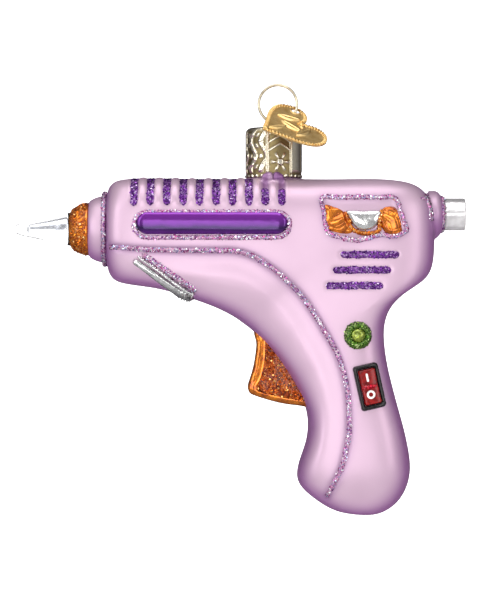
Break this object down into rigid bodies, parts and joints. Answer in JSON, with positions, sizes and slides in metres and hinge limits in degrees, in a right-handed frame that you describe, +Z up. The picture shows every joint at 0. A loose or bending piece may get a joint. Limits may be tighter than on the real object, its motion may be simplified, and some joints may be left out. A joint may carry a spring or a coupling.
{
  "type": "tree ornament",
  "caption": "Blown-glass tree ornament shaped like a hot-glue gun, lilac with glitter trim, hung from a gold cap, ring and heart tag.",
  "frame": {"origin": "where the hook bears on the inside of the hanging ring", "axes": "+Z up, -X along the nozzle, +X along the glue stick's stub, the side shown in the picture faces -Y"},
  "size_m": [0.1019, 0.0266, 0.098],
  "materials": {
    "lilac_lacquer": "satin metallic lilac lacquer over silvered blown glass",
    "silvered_glass": "clear glass, silvered behind, unpainted, mirror-bright",
    "copper_lacquer": "glossy transparent copper-orange lacquer over silvered glass",
    "pearl_lacquer": "pearl white lacquer over silvered glass",
    "silvering": "silver nitrate mirror on the inside of the glass",
    "violet_lacquer": "glossy deep violet lacquer over silvered glass",
    "silver_lacquer": "glossy pearly silver lacquer",
    "green_lacquer": "glossy yellow-green lacquer",
    "black_lacquer": "glossy black enamel",
    "red_lacquer": "glossy red enamel",
    "white_paint": "hand-drawn white enamel",
    "purple_glitter": "deep purple flakes with lilac and blue glints, set in glue",
    "iridescent_glitter": "iridescent pale flakes with pink, blue and lilac glints",
    "copper_glitter": "copper-orange flakes set in glue",
    "green_glitter": "green flakes set in glue",
    "red_glitter": "red flakes set in glue",
    "champagne_metal": "stamped tin cap, champagne-gold plate, darker in its embossing",
    "gold_metal": "bright gold-plated wire",
    "tag_metal": "bright gold-plated stamped tag"
  },
  "bodies": {
    "hook_ring": {"hanging_ring": "gold_metal"},
    "cap": {"metal_cap": "champagne_metal", "hanger_wire": "gold_metal"},
    "glass": {"glass_body": "lilac_lacquer", "glass_nozzle": "silvered_glass", "glass_collar": "copper_lacquer", "glass_trigger": "copper_lacquer", "glass_glue_stick_end": "pearl_lacquer", "silver_lining": "silvering", "side_bars": "violet_lacquer", "stands": "silver_lacquer", "window_facets": "copper_lacquer", "window_glue_sticks": "silver_lacquer", "indicator_buttons": "green_lacquer", "switch_bezels": "black_lacquer", "switch_rockers": "red_lacquer", "switch_marks": "white_paint", "rib_glitter": "purple_glitter", "vent_glitter": "purple_glitter", "bar_outline_glitter": "iridescent_glitter", "seam_glitter": "iridescent_glitter", "window_frame_glitter": "iridescent_glitter", "window_copper_glitter": "copper_glitter", "stand_glitter": "iridescent_glitter", "button_glitter": "green_glitter", "switch_glitter": "red_glitter", "boss_glitter": "iridescent_glitter", "dome_seam_glitter": "iridescent_glitter", "stub_glitter": "iridescent_glitter", "collar_glitter": "copper_glitter", "trigger_glitter": "copper_glitter"},
    "tag": {"heart_tag": "tag_metal"}
  },
  "joints": [
    {"name": "ornament_swing", "type": "hinge", "parent": "hook_ring", "child": "cap", "pos_m": [-0.00095, 0, -0.00822], "axis": [1, 0, 0], "range_deg": [-4, 75]},
    {"name": "glass_turn", "type": "hinge", "parent": "cap", "child": "glass", "pos_m": [-0.00095, 0, -0.021], "axis": [0, 0, 1], "continuous": true},
    {"name": "tag_flap", "type": "hinge", "parent": "hook_ring", "child": "tag", "pos_m": [0.004, 0, -0.00567], "axis": [-0.9583, 0, 0.2857], "range_deg": [0, 80]}
  ]
}
